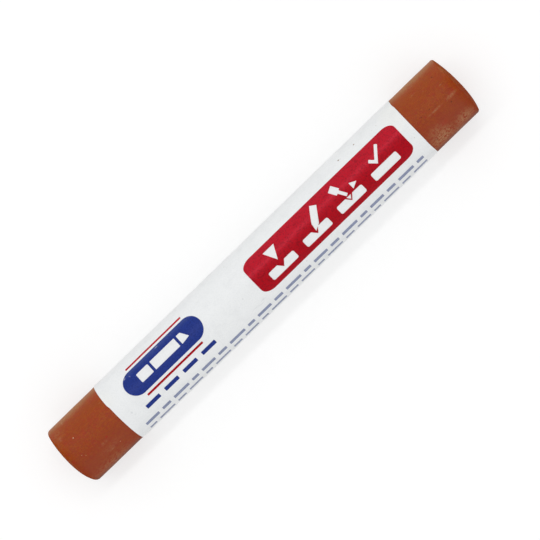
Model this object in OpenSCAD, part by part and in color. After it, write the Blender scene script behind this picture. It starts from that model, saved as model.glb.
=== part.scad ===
// Furniture repair wax stick: a cast wax rod in a wound, printed label.
// X runs along the stick, Z is up, and the barrel of the label rests on Z = 0.
// Turns round the stick are in degrees from its top line, growing towards -Y.

/* [Wax stick] */
// Diameter of the cast wax stick
wax_d = 11.1; // [8:0.1:20]
// Length of the wax stick over its domed ends
wax_len = 86; // [82:0.5:160]
// How far the middle of each end stands out past its rim
dome_rise = 0.58; // [0.2:0.02:1.5]
// Radius of the soft rounding round each rim
rim_radius = 0.6; // [0.2:0.05:1.5]

/* [Label] */
// Length of the label along the stick
label_len = 64.8; // [62:0.1:72]
// How far the label's middle lies from the stick's middle, towards +X
label_shift = 0.65; // [-2:0.05:2]
// Thickness of the label's sheet
sheet_t = 0.04; // [0.03:0.01:0.2]
// Thickness of the adhesive on the back of the sheet
adhesive_t = 0.03; // [0.03:0.01:0.1]
// How far the sheet laps over its own start, measured round the stick
lap = 3.4; // [1:0.1:6]
// Length of the slope on which the sheet climbs onto its own start
climb = 0.8; // [0.4:0.1:2]
// Turn at which the sheet's free edge lies
free_edge_turn = -110; // [-130:1:-95]

/* [Red print] */
// Thickness of each printed film of ink
ink_t = 0.03; // [0.01:0.01:0.05]
// Gap along the stick between the blue panel and the red panel
panel_gap = 10.2; // [6:0.1:14]
// Width of the red panel round the stick
panel_w = 6.5; // [6:0.1:8]
// Gap between the red panel and the label's +X edge
panel_inset = 2.1; // [1:0.1:4]
// Length along the stick of the panel's rounded corners
panel_corner_len = 2; // [0.5:0.1:3]
// Width round the stick of the panel's rounded corners
panel_corner_w = 1.3; // [0.5:0.1:3]
// Margin between the red panel's ends and its row of pictures
picture_margin = 1.5; // [1:0.1:3]
// Width of the thin red rules beside the blue panel
rule_w = 0.35; // [0.2:0.05:0.6]
// Length of the thin red rules
rule_len = 12; // [6:0.5:15]
// Gap between each red rule and the blue panel
rule_gap = 0.45; // [0.3:0.05:0.6]

/* [Pictures] */
// Gap between neighbouring white boards in the row of pictures
board_gap = 2; // [1.6:0.1:3]
// Height of each white board
board_h = 1.5; // [1:0.1:1.8]
// Height of the board's lower edge below the panel's middle
board_drop = 2.3; // [1.8:0.1:2.6]
// Rounding of the board's corners
board_corner = 0.3; // [0.1:0.05:0.45]
// Width of the scratch in the board
scratch_w = 1.5; // [0.8:0.1:2]
// Depth of the scratch in the board
scratch_d = 0.9; // [0.5:0.1:0.95]
// Height of the pictures' upper ends above the panel's middle
picture_top = 2.1; // [1.2:0.1:2.6]
// Width of the stick, the scraper's grip and the pointers in the pictures
tool_w = 1.2; // [0.8:0.1:1.4]
// Thickness of the thin lines in the pictures
stroke = 0.55; // [0.3:0.05:0.7]

/* [Blue print] */
// Length of the blue panel, which has half-round ends
pill_len = 16.2; // [14:0.1:18]
// Width of the blue panel round the stick
pill_w = 4.4; // [3.6:0.1:4.8]
// Gap between the blue panel and the label's -X edge
pill_inset = 3.6; // [2:0.1:6]
// Height of the blue panel's middle above the top line of the stick
pill_up = 1.5; // [1.2:0.1:2]
// Length of the white stick drawn on the blue panel
drawn_len = 10.4; // [8:0.1:11]
// Width of the white stick drawn on the blue panel
drawn_w = 1.7; // [1:0.1:2.4]
// Length of each bold blue dash
bold_len = 2.9; // [1.5:0.1:3.2]
// Height of each bold blue dash
bold_h = 0.7; // [0.4:0.05:1]
// Number of bold blue dashes in their row
bold_count = 4; // [2:1:4]
// How far the row of bold dashes lies below the top line of the stick
bold_down = 2.7; // [2.4:0.1:3.2]

/* [Fine print] */
// Gap between the rows of fine dashes and the label's edges
fine_inset = 1.7; // [1:0.1:4]
// Height of each fine dash
fine_h = 0.65; // [0.3:0.05:0.8]
// Gap between neighbouring fine dashes
fine_gap = 0.8; // [0.4:0.05:1.2]
// How far the upper row of fine dashes lies below the top line of the stick
fine_down = 5.2; // [4.6:0.1:5.4]
// Distance from the upper row of fine dashes to the lower row
fine_pitch = 1.75; // [1.4:0.05:2]
// Number of groups of fine dashes in each row
fine_groups = 5; // [3:1:7]

/* [Hidden] */
// Segments of every round wall in the interpreter's own mesh
round_fn = 180;

wax_r = wax_d / 2;
// The sheet lies on its adhesive, and the adhesive on the wax.
sheet_in_r = wax_r + adhesive_t;
sheet_r = sheet_in_r + sheet_t;
ink_r = sheet_r + ink_t;
axis_h = sheet_r;
label_x = label_shift - label_len / 2;
label_end_x = label_shift + label_len / 2;

// Each end of the wax is part of a sphere, and its rim an arc that meets both sphere and side.
dome_r = (pow(wax_r, 2) + pow(dome_rise, 2)) / (2 * dome_rise);
dome_mid = wax_len / 2 - dome_r;
rim_mid = dome_mid + sqrt(pow(dome_r - rim_radius, 2) - pow(wax_r - rim_radius, 2));
dome_angle = asin((wax_r - rim_radius) / (dome_r - rim_radius));
dome_steps = 8;
rim_steps = 8;

// Where the sheet laps, both sheet and adhesive lie one layer further out.
lift = sheet_t + adhesive_t;
lap_angle = degrees_round(lap);
climb_angle = degrees_round(climb);
start_turn = free_edge_turn - lap_angle;
climb_steps = 4;
lap_steps = 14;
// The slope runs this far back into the plain stretch, inside this share of the wall from each face.
bite = sheet_t;
bite_share = 0.25;

// Places on the print: x along the stick, y upwards as the label is read.
pill_x = label_x + pill_inset + pill_len / 2;
// The red panel fills what the blue panel and the gaps leave of the label's length.
panel_len = label_len - pill_inset - pill_len - panel_gap - panel_inset;
panel_x = label_end_x - panel_inset - panel_len / 2;
rule_y = pill_w / 2 + rule_gap + rule_w / 2;
picture_count = 4;
picture_pitch = (panel_len - 2 * picture_margin) / picture_count;
board_len = picture_pitch - board_gap;
corner_steps = 6;
board_top = board_h - board_drop;
// Lean of the drawn stick and scraper from upright, and of the tick's two strokes from level
stick_lean = 35;
scraper_lean = 30;
tick_long_lean = 50;
tick_short_lean = 135;

// Lengths of the fine dashes in a group, as shares of the group's printed length.
dash_shares = [0.31, 0.19, 0.35, 0.15];
fine_len = label_len - 2 * fine_inset;
group_len = fine_len / fine_groups;
dash_total = group_len - len(dash_shares) * fine_gap;

// Rounding of the pointed tip, the caps and the bands of the drawn stick, as shares of its size.
tip_share = 0.16;
tip_end_share = 0.35;
band_share = 0.045;
cap_share = 0.24;

// Turn in degrees of a length measured round the label.
function degrees_round(length) = length / sheet_r * 180 / PI;

// Point at a radius and a turn, on a cross-section.
function polar(r, turn) = [r * cos(turn), r * sin(turn)];

// Turn of a step on the slope and then on the lap, from the start of the slope.
function lap_turn(i) = i < climb_steps
    ? climb_angle * i / climb_steps
    : climb_angle + lap_angle * (i - climb_steps) / lap_steps;

// Places of flat print points on the plane that touches the label, seen along its radius.
function wrapped(points) = [for (p = points) [p[0], sheet_r * sin(degrees_round(p[1]))]];

// Outline of a rectangle with elliptical corners.
function rounded(w, h, rx, ry) = [
    for (quarter = [0 : 3])
        let (sx = quarter == 0 || quarter == 3 ? 1 : -1, sy = quarter < 2 ? 1 : -1)
            for (i = [0 : corner_steps])
                let (a = 90 * (quarter + i / corner_steps))
                    [sx * (w / 2 - rx) + rx * cos(a), sy * (h / 2 - ry) + ry * sin(a)]
];

// Half outline of the wax, from the axis over one end to the side, as radius and height.
function end_arc() = concat(
    [for (i = [0 : dome_steps])
        let (a = dome_angle * i / dome_steps)
            [dome_r * sin(a), dome_mid + dome_r * cos(a)]],
    [for (i = [1 : rim_steps])
        let (a = dome_angle + (90 - dome_angle) * i / rim_steps)
            [wax_r - rim_radius + rim_radius * sin(a), rim_mid + rim_radius * cos(a)]]
);

// Sum of the dash shares before one of them.
function share_before(k) = k == 0 ? 0 : dash_shares[k - 1] + share_before(k - 1);

// Brings shapes made round their own Z axis onto the stick, with turn 0 at the top.
module on_axis(x) {
    translate([x, 0, axis_h]) rotate([0, 90, 0]) rotate([0, 0, 180]) children();
}

// Plain stretch of a wound strip, with turn 0 where the strip starts to climb over its own start.
module plain_stretch(r_in, wall) {
    linear_extrude(label_len) difference() {
        circle(r_in + wall, $fn = round_fn);
        circle(r_in, $fn = round_fn);
        polygon([[0, 0], polar(2 * sheet_r, 0), polar(2 * sheet_r, climb_angle)]);
    }
}

// Slope and lap of a wound strip, which begin inside the end of its plain stretch.
module lapped_stretch(r_in, wall) {
    steps = climb_steps + lap_steps;
    linear_extrude(label_len) polygon(concat(
        [[r_in + wall * bite_share, -bite]],
        [for (i = [0 : steps]) polar(r_in + lift * min(1, i / climb_steps), lap_turn(i))],
        [for (i = [steps : -1 : 0]) polar(r_in + wall + lift * min(1, i / climb_steps), lap_turn(i))],
        [[r_in + wall * (1 - bite_share), -bite]]
    ));
}

// Strip wound once round the stick, up a slope and over its own start.
module wound_strip(r_in, wall) {
    on_axis(label_x) rotate([0, 0, start_turn - climb_angle]) {
        plain_stretch(r_in, wall);
        lapped_stretch(r_in, wall);
    }
}

// Film of ink in the outline of the flat children, which are drawn round the print place x, y.
module printed(x, y) {
    intersection() {
        on_axis(label_x) difference() {
            cylinder(h = label_len, r = ink_r, $fn = round_fn);
            cylinder(h = label_len, r = sheet_r, $fn = round_fn);
        }
        translate([x, 0, axis_h]) rotate([-degrees_round(y), 0, 0])
            linear_extrude(sheet_r * 2) children();
    }
}

// Bar with square ends, from its middle.
module bar(length, w) {
    square([length, w], center = true);
}

// Scratch cut into the top of a board.
module scratch(w, d) {
    polygon([[-w / 2, board_top + stroke], [-w / 2, board_top], [0, board_top - d], [w / 2, board_top],
             [w / 2, board_top + stroke]]);
}

// Whole board, standing on the lower line of the pictures.
module board() {
    translate([0, board_top - board_h / 2])
        polygon(rounded(board_len, board_h, board_corner, board_corner));
}

// Board with an open scratch.
module scratched_board() {
    difference() {
        board();
        scratch(scratch_w, scratch_d);
    }
}

// First picture: a scratched board under a pointer.
module picture_scratch() {
    scratched_board();
    polygon([[0, board_top + stroke], [tool_w, picture_top], [-tool_w, picture_top]]);
}

// Second picture: a pointed stick rubbed into the scratch.
module picture_fill() {
    foot = board_top - scratch_d / 2;
    length = (picture_top - foot) / cos(stick_lean);
    scratched_board();
    translate([0, foot]) rotate([0, 0, -stick_lean])
        polygon([[0, 0], [tool_w / 2, tool_w], [tool_w / 2, length], [-tool_w / 2, length],
                 [-tool_w / 2, tool_w]]);
}

// Third picture: a scraper levelling the filled scratch, and a pointer along the board.
module picture_level() {
    foot = board_top + stroke / 2;
    length = (picture_top - foot) / cos(scraper_lean);
    difference() {
        board();
        difference() {
            scratch(scratch_w, scratch_d);
            scratch(scratch_w - stroke, scratch_d - stroke / 2);
        }
    }
    translate([0, foot]) rotate([0, 0, scraper_lean]) {
        translate([0, length / 2]) bar(stroke, length);
        translate([0, length * 3 / 4]) bar(tool_w, length / 2);
    }
    translate([board_len / 4, foot]) polygon([[0, 0], [tool_w, tool_w / 2], [0, tool_w]]);
}

// Fourth picture: the finished board with a tick above it.
module picture_done() {
    foot = board_top + stroke;
    length = (picture_top - foot) / sin(tick_long_lean);
    board();
    translate([-tool_w / 2, foot + stroke / 2]) {
        rotate([0, 0, tick_long_lean]) translate([length / 2 - stroke / 2, 0]) bar(length, stroke);
        rotate([0, 0, tick_short_lean]) translate([length / 4 - stroke / 2, 0]) bar(length / 2, stroke);
    }
}

// Row of four pictures of a repair.
module pictures() {
    for (i = [0 : picture_count - 1])
        translate([(i - (picture_count - 1) / 2) * picture_pitch, 0]) {
            if (i == 0) picture_scratch();
            if (i == 1) picture_fill();
            if (i == 2) picture_level();
            if (i == 3) picture_done();
        }
}

// White stick on the blue panel: a capped barrel between two bands, with a worn tip.
module drawn_stick() {
    half = drawn_len / 2;
    tip = drawn_len * tip_share;
    band = drawn_len * band_share;
    cap = drawn_len * cap_share;
    polygon([[half - tip, -drawn_w / 2], [half, -drawn_w * tip_end_share], [half - tip / 2, drawn_w / 2],
             [half - tip, drawn_w / 2]]);
    translate([-half, -drawn_w / 2]) square([cap, drawn_w]);
    translate([band + cap - half, -drawn_w / 2]) square([drawn_len - cap - tip - 2 * band, drawn_w]);
}

// Wax rod with domed ends and soft rims.
module wax_stick() {
    arc = end_arc();
    last = len(arc) - 1;
    color("sienna") on_axis(0) rotate_extrude($fn = round_fn)
        polygon(concat(arc, [for (i = [last : -1 : 0]) [arc[i][0], -arc[i][1]]]));
}

// Adhesive on the back of the sheet, under the lap too.
module adhesive_coat() {
    color("lightyellow") wound_strip(wax_r, adhesive_t);
}

// White sheet of the label, wound once round with a lap at the back.
module label_sheet() {
    color("whitesmoke") wound_strip(sheet_in_r, sheet_t);
}

// Red ink: the panel with its pictures left out, and the two rules beside the blue panel.
module red_print() {
    color("crimson") {
        printed(panel_x, 0) difference() {
            polygon(wrapped(rounded(panel_len, panel_w, panel_corner_len, panel_corner_w)));
            pictures();
        }
        for (side = [-1, 1])
            printed(pill_x, pill_up + side * rule_y) bar(rule_len, rule_w);
    }
}

// Blue ink: the panel with a stick left out, and the row of bold dashes below it.
module blue_print() {
    bold_pitch = pill_len / bold_count;
    color("mediumblue") {
        printed(pill_x, pill_up) difference() {
            polygon(wrapped(rounded(pill_len, pill_w, pill_w / 2, pill_w / 2)));
            drawn_stick();
        }
        printed(pill_x, -bold_down)
            for (i = [0 : bold_count - 1])
                translate([(i - (bold_count - 1) / 2) * bold_pitch, 0]) bar(bold_len, bold_h);
    }
}

// Blue-grey ink: two rows of fine dashes, the lower one with its groups turned about.
module fine_print() {
    color("slategray")
        for (row = [0, 1])
            printed(label_shift, -fine_down - row * fine_pitch)
                mirror([row, 0])
                    for (g = [0 : fine_groups - 1], k = [0 : len(dash_shares) - 1])
                        translate([g * group_len - fine_len / 2 + dash_total * share_before(k)
                                   + (k + 1 / 2) * fine_gap, -fine_h / 2])
                            square([dash_total * dash_shares[k], fine_h]);
}

wax_stick();
adhesive_coat();
label_sheet();
red_print();
blue_print();
fine_print();
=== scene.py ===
import math
import bmesh
import bpy
import numpy as np
from mathutils import Matrix, Vector


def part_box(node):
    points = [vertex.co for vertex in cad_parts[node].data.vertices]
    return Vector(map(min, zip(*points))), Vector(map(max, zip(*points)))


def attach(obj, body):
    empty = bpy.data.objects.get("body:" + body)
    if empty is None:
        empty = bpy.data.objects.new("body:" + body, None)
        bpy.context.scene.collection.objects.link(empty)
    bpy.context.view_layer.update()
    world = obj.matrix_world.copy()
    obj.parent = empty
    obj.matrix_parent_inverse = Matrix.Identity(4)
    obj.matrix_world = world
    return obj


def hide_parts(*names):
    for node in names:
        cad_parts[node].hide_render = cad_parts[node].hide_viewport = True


# A wax stick for mending furniture: cast wax rod, wound label, printed films of ink.
# Lengths are millimetres where no other unit is named. X runs along the stick, Z is up.
# A turn is measured round the stick from its top line, growing towards -Y, in radians.

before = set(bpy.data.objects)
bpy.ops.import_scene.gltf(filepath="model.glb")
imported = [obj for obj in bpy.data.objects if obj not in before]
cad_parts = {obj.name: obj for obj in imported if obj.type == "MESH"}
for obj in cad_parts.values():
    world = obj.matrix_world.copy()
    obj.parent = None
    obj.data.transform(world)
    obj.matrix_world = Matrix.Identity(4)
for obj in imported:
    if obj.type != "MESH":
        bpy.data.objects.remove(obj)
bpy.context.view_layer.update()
mm = 0.001

# The stick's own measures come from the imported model
waxLow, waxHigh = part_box("wax_stick")
sheetLow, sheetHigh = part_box("label_sheet")
coatLow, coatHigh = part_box("adhesive_coat")
waxRadius = (waxHigh.y - waxLow.y) / 2 / mm
waxLength = (waxHigh.x - waxLow.x) / mm
axisHeight = (waxHigh.z + waxLow.z) / 2 / mm
sheetRadius = (sheetHigh.y - sheetLow.y) / 2 / mm
coatRadius = (coatHigh.y - coatLow.y) / 2 / mm
labelStart, labelEnd = sheetLow.x / mm, sheetHigh.x / mm
print("frame loaded: wax radius", round(waxRadius, 3), "sheet radius", round(sheetRadius, 3))


def feed(node, feeds):
    # Each input is joined to the socket, or set to the value, that is given for it
    for key, value in feeds.items():
        if isinstance(value, bpy.types.NodeSocket):
            node.id_data.links.new(value, node.inputs[key])
        else:
            node.inputs[key].default_value = value


def addNode(kind, feeds, tree=None, **settings):
    # New node with its settings and feeds, in the given tree or else in that of its feeds
    tree = tree or next(value.id_data for value in feeds.values() if isinstance(value, bpy.types.NodeSocket))
    node = tree.nodes.new("ShaderNode" + kind)
    for key, value in settings.items():
        setattr(node, key, value)
    feed(node, feeds)
    return node


def newMaterial(name, sockets):
    # Material with a Principled shader whose named sockets are set, and the place on the stick
    material = bpy.data.materials.new(name)
    material.use_nodes = True
    shader = material.node_tree.nodes["Principled BSDF"]
    feed(shader, sockets)
    return material, shader, addPlace(material.node_tree)


def calc(operation, a, b=0.0, c=0.0, clamp=False):
    # Result of one Math node
    return addNode("Math", {0: a, 1: b, 2: c}, operation=operation, use_clamp=clamp).outputs[0]


def times(a, b):
    # a multiplied by b
    return calc("MULTIPLY", a, b)


def vectorCalc(operation, a, b=(0, 0, 0)):
    # Result of one Vector Math node: a number for a length or a distance, and otherwise a vector
    node = addNode("VectorMath", {0: a, 1: b}, operation=operation)
    return node.outputs["Value" if operation in ("LENGTH", "DISTANCE") else "Vector"]


def blendColour(share, a, b):
    # Colour a, taken towards b by the share
    return addNode("Mix", {0: share, 6: a, 7: b}, data_type="RGBA").outputs[2]


def softStep(value, low, high, most=1.0):
    # 0 on the side of low, the most on the side of high, smooth between
    node = addNode("MapRange", {"Value": value, "From Min": low, "From Max": high, "To Max": most},
                   interpolation_type="SMOOTHSTEP")
    return node.outputs["Result"]


def addObject(name, data):
    # New object of the scene
    made = bpy.data.objects.new(name, data)
    bpy.context.scene.collection.objects.link(made)
    return made


cameraValues = {
    "distance": 718,  # from the middle of the stick's axis
    "focalPixels": 4555,  # focal length in pixels of the frame
    "framePixels": 540,
    "sensorWidth": 36,
    "clip": (0.01, 20),  # nearest and farthest seen, metres
    "middlePixel": (262.78, 272),
    "roll": 44.114,  # the stick's rise in the picture, degrees
    "tilt": 3.9,  # how much nearer the +X end comes, degrees
}


def makeCamera(v):
    # The stick's axis is turned by the tilt out of the picture plane and by the roll within it
    tilt, roll = math.radians(v["tilt"]), math.radians(v["roll"])
    along = Vector((math.cos(tilt), 0, -math.sin(tilt)))
    towards = Vector((math.sin(tilt), 0, math.cos(tilt)))
    across = Vector((0, -1, 0))
    right = along * math.cos(roll) + across * math.sin(roll)
    up = along * math.sin(roll) - across * math.cos(roll)
    # the aim is moved so that the stick's middle falls on its own pixel
    half = v["framePixels"] / 2
    perPixel = v["distance"] / v["focalPixels"]
    aim = right * (half - v["middlePixel"][0]) * perPixel - up * (half - v["middlePixel"][1]) * perPixel
    place = Vector((0, 0, axisHeight)) + towards * v["distance"] + aim
    data = bpy.data.cameras.new("photoCamera")
    data.sensor_width = v["sensorWidth"]
    data.lens = v["sensorWidth"] * v["focalPixels"] / v["framePixels"]
    data.clip_start, data.clip_end = v["clip"]
    camera = addObject("photoCamera", data)
    turn = Matrix((right, up, towards)).transposed().to_4x4()
    camera.matrix_world = Matrix.Translation(place * mm) @ turn
    bpy.context.scene.camera = camera


lightValues = {  # lengths in metres
    "skyStrength": 0.63,  # straight above
    "horizonExtra": 1.12,  # added towards the horizon, as in a light tent
    "keyPower": 1.5,
    "keyAngle": 19,  # from straight up, towards +Y, degrees
    "keyDistance": 0.9,
    "keyLength": 0.9,
    "keyWidth": 0.09,
    "floorColour": (0.48, 0.48, 0.48, 1),
    "floorGlow": 0.57,  # seen by the camera and in gloss, on top of the lit floor
    "floorSize": 6,
    "floorDrop": 0.00002,  # keeps the floor just clear of the stick
}


def seenPlainly(tree):
    # 1 for what the camera, gloss and glass see, 0 for light that falls on surfaces
    path = addNode("LightPath", {}, tree)
    gloss = calc("MAXIMUM", path.outputs["Is Glossy Ray"], path.outputs["Is Transmission Ray"])
    return calc("MAXIMUM", path.outputs["Is Camera Ray"], gloss)


def makeLights(v):
    # Pale sky, brighter towards the horizon, and one long soft box above the stick, a little to its +Y side
    world = bpy.data.worlds.new("paleStudio")
    world.use_nodes = True
    tree = world.node_tree
    heading = addNode("TexCoord", {}, tree).outputs["Generated"]
    height = addNode("SeparateXYZ", {0: heading}).outputs["Z"]
    low = calc("SUBTRACT", 1.0, height, clamp=True)
    level = calc("MULTIPLY_ADD", times(low, low), v["horizonExtra"], v["skyStrength"])
    shown = addNode("MapRange", {"Value": seenPlainly(tree), "To Min": level, "To Max": 1.0})
    feed(tree.nodes["Background"], {"Color": (1, 1, 1, 1), "Strength": shown.outputs["Result"]})
    bpy.context.scene.world = world
    angle = math.radians(v["keyAngle"])
    data = bpy.data.lights.new("keyLight", "AREA")
    data.shape = "RECTANGLE"
    data.size, data.size_y = v["keyLength"], v["keyWidth"]
    data.energy = v["keyPower"]
    key = addObject("keyLight", data)
    key.location = (0, v["keyDistance"] * math.sin(angle), v["keyDistance"] * math.cos(angle))
    key.rotation_euler = (-angle, 0, 0)


def makeFloor(v):
    # Flat square under the stick, lit by the sky and the lamp and lifted to white for the camera
    half = v["floorSize"] / 2
    mesh = bpy.data.meshes.new("floor")
    corners = [(-half, -half, 0), (half, -half, 0), (half, half, 0), (-half, half, 0)]
    mesh.from_pydata(corners, [], [(0, 1, 2, 3)])
    floor = addObject("floor", mesh)
    floor.location.z = -v["floorDrop"]
    material = bpy.data.materials.new("floorPaint")
    material.use_nodes = True
    tree = material.node_tree
    tree.nodes.clear()
    paint = addNode("BsdfDiffuse", {"Color": v["floorColour"]}, tree)
    glow = addNode("Emission", {"Strength": times(seenPlainly(tree), v["floorGlow"])})
    both = addNode("AddShader", {0: paint.outputs[0], 1: glow.outputs[0]})
    addNode("OutputMaterial", {"Surface": both.outputs[0]})
    mesh.materials.append(material)


bpy.context.scene.view_settings.view_transform = "Standard"
makeCamera(cameraValues)
makeLights(lightValues)
makeFloor(lightValues)
print("camera, light and floor made")


def softNoise(x, y, z, size, seed, waves=24, rates=(0.6, 1.5)):
    # Sum of cosine waves of about the given size, in seeded directions and phases; about -1 to 1
    rng = np.random.default_rng(seed)
    heading = rng.normal(size=(waves, 3))
    heading /= np.linalg.norm(heading, axis=1, keepdims=True)
    rate = 2 * np.pi / size * rng.uniform(*rates, waves)
    phase = rng.uniform(0, 2 * np.pi, waves)
    total = np.zeros(np.broadcast(x, y, z).shape)
    for (a, b, c), k, p in zip(heading, rate, phase):
        total += np.cos(k * (a * x + b * y + c * z) + p)
    return total / math.sqrt(waves)


def wrapAngle(turn):
    # Same turn, brought between minus and plus half a circle
    return (turn + np.pi) % (2 * np.pi) - np.pi


def roundPlace(x, turn, radius):
    # Point at a place along the stick, a turn and a radius
    return np.stack(np.broadcast_arrays(x, -radius * np.sin(turn), axisHeight + radius * np.cos(turn)), -1)


def ringQuads(rows, columns):
    # Row, column and corners of each quad between neighbouring rings of points
    i, j = np.meshgrid(np.arange(rows - 1), np.arange(columns), indexing="ij")
    i, j = i.ravel(), j.ravel()
    near, far, after = i * columns, (i + 1) * columns, (j + 1) % columns
    return i, j, np.stack([near + j, far + j, far + after, near + after], 1)


def readMesh(items, key, kind=float):
    # One property of all of a mesh's items, in one row
    values = np.zeros(len(items) * (3 if key == "co" else 1), kind)
    items.foreach_get(key, values)
    return values


def makePiece(name, places, faces, material, cornerMap=None, flatFaces=0):
    # Puts millimetre places and faces into a mesh; the last flatFaces faces keep hard edges
    mesh = bpy.data.meshes.new(name)
    mesh.from_pydata((places * mm).tolist(), [], faces)
    smooth = np.ones(len(mesh.polygons), bool)
    if flatFaces:
        smooth[-flatFaces:] = False
        edgeOf = readMesh(mesh.loops, "edge_index", int)
        sharp = np.zeros(len(mesh.edges), bool)
        sharp[edgeOf[mesh.polygons[-flatFaces].loop_start:]] = True
        mesh.edges.foreach_set("use_edge_sharp", sharp)
    mesh.polygons.foreach_set("use_smooth", smooth)
    if cornerMap is not None:
        layer = mesh.uv_layers.new(name="OFBake")
        layer.data.foreach_set("uv", cornerMap.astype(np.float32).ravel())
    mesh.materials.append(material)
    mesh.validate()
    return addObject(name, mesh)


def newGroup(name, inputs, outputs):
    # Shader node group, the sockets that it is given and its last node; None makes a socket a vector
    group = bpy.data.node_groups.new(name, "ShaderNodeTree")
    for way, sockets in (("INPUT", inputs), ("OUTPUT", outputs)):
        for socket, value in sockets.items():
            kind = "NodeSocketVector" if value is None else "NodeSocketFloat"
            made = group.interface.new_socket(name=socket, in_out=way, socket_type=kind)
            if value is not None:
                made.default_value = value
    return group, group.nodes.new("NodeGroupInput").outputs, group.nodes.new("NodeGroupOutput")


def makeStickPlace():
    # Place on the stick in millimetres: along it, round it from the top line towards -Y, straight towards -Y,
    # and out from its axis
    group, given, made = newGroup("stickPlace", {"Object": None}, {
        "Millimetres": None, "Along": 0, "Round": 0, "Across": 0, "Out": 0})
    place = vectorCalc("ADD", vectorCalc("MULTIPLY", given["Object"], (1 / mm,) * 3), (0, 0, -axisHeight))
    parts = addNode("SeparateXYZ", {0: place})
    across = times(parts.outputs["Y"], -1)
    turn = calc("ARCTAN2", across, parts.outputs["Z"])
    out = vectorCalc("LENGTH", vectorCalc("MULTIPLY", place, (0, 1, 1)))
    feed(made, {"Millimetres": place, "Along": parts.outputs["X"], "Across": across, "Out": out,
                "Round": times(turn, sheetRadius)})
    return group


def makeGrain(fineShare=0.12):
    # Noise of four sizes: broad clouds, middling mottle, streaks drawn out along the stick, and fine grain,
    # whose size is the given share of the mottle's
    group, given, made = newGroup("surfaceGrain", {
        "Millimetres": None, "Cloud Size": 6, "Mottle Size": 1, "Streak Size": 0.2, "Draw": 8},
        {"Clouds": 0, "Mottle": 0, "Streaks": 0, "Fine": 0})
    place, mottleSize = given["Millimetres"], given["Mottle Size"]
    thin = calc("DIVIDE", 1.0, given["Draw"])
    shape = addNode("CombineXYZ", {0: thin, 1: 1.0, 2: 1.0}).outputs[0]
    drawn = vectorCalc("MULTIPLY", place, shape)
    for output, size, vector, detail, rough in (
            ("Clouds", given["Cloud Size"], place, 2, 0.5),
            ("Mottle", mottleSize, place, 3, 0.6),
            ("Streaks", given["Streak Size"], drawn, 2, 0.6),
            ("Fine", times(mottleSize, fineShare), place, 2, 0.6)):
        rate = calc("DIVIDE", 1.0, size)
        noise = addNode("TexNoise", {"Vector": vector, "Scale": rate, "Detail": detail, "Roughness": rough})
        feed(made, {output: noise.outputs["Fac"]})
    return group


def makeSpot():
    # Soft oval mark at one place of the stick: 1 inside, 0 outside
    group, given, made = newGroup("placedMark", {
        "Along": 0, "Round": 0, "At Along": 0, "At Round": 0, "Half Length": 1, "Half Width": 1,
        "Soft": 0.5, "Wobble": 0}, {"Mark": 0})
    squares = []
    for way, half in (("Along", "Half Length"), ("Round", "Half Width")):
        away = calc("SUBTRACT", given[way], given["At " + way])
        away = calc("DIVIDE", away, given[half])
        squares.append(times(away, away))
    far = calc("ADD", calc("SQRT", calc("ADD", *squares)), given["Wobble"])
    edge = calc("SUBTRACT", 1.0, given["Soft"])
    feed(made, {"Mark": softStep(far, 1.0, edge)})
    return group


stickPlace = makeStickPlace()
surfaceGrain = makeGrain()
placedMark = makeSpot()


def addGroup(group, feeds):
    # Outputs of a node group placed in a material
    return addNode("Group", feeds, node_tree=group).outputs


def addPlace(tree):
    # The place on the stick, for one material
    return addGroup(stickPlace, {"Object": addNode("TexCoord", {}, tree).outputs["Object"]})


def addGrain(place, sizes):
    # The grain, from the sizes of its clouds, mottle and streaks and how far the streaks are drawn out
    names = ("Cloud Size", "Mottle Size", "Streak Size", "Draw")
    return addGroup(surfaceGrain, {"Millimetres": place["Millimetres"], **dict(zip(names, sizes))})


def addBump(height, strength, depth):
    # Normal of a bump whose full depth is given in metres
    return addNode("Bump", {"Strength": strength, "Distance": depth, "Height": height}).outputs[0]


def uneven(noise, amount):
    # The noise, spread evenly to both sides of 0
    return calc("MULTIPLY_ADD", noise, amount, -amount / 2)


def strongest(masks):
    # Greatest of several masks
    total = masks[0]
    for mask in masks[1:]:
        total = calc("MAXIMUM", total, mask)
    return total


def ovalMarks(place, marks, wobble=0.0):
    # Strongest of several oval marks, each given as along, round, half length, half width, softness, strength
    names = ("At Along", "At Round", "Half Length", "Half Width", "Soft")
    same = {"Along": place["Along"], "Round": place["Round"], "Wobble": wobble}
    return strongest([times(addGroup(placedMark, {**same, **dict(zip(names, sizes))})["Mark"], strength)
                      for *sizes, strength in marks])


def pointMarks(place, points, core=0.3):
    # Strongest of several round marks, each given as x, y, height from the axis, radius and strength;
    # the core is the share of the radius that has the whole strength
    return strongest([softStep(vectorCalc("DISTANCE", place["Millimetres"], at), radius, radius * core, strength)
                      for *at, radius, strength in points])


def layered(colour, layers, sources, colours):
    # Colour taken part of the way towards others, each layer given as its source, from, to, share and colour;
    # a pair of shares is for the -X and the +X end
    for source, low, high, share, towards in layers:
        if isinstance(share, tuple):
            share = calc("MULTIPLY_ADD", sources["right"], share[1] - share[0], share[0])
        colour = blendColour(softStep(sources[source], low, high, share), colour, colours[towards])
    return colour


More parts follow.
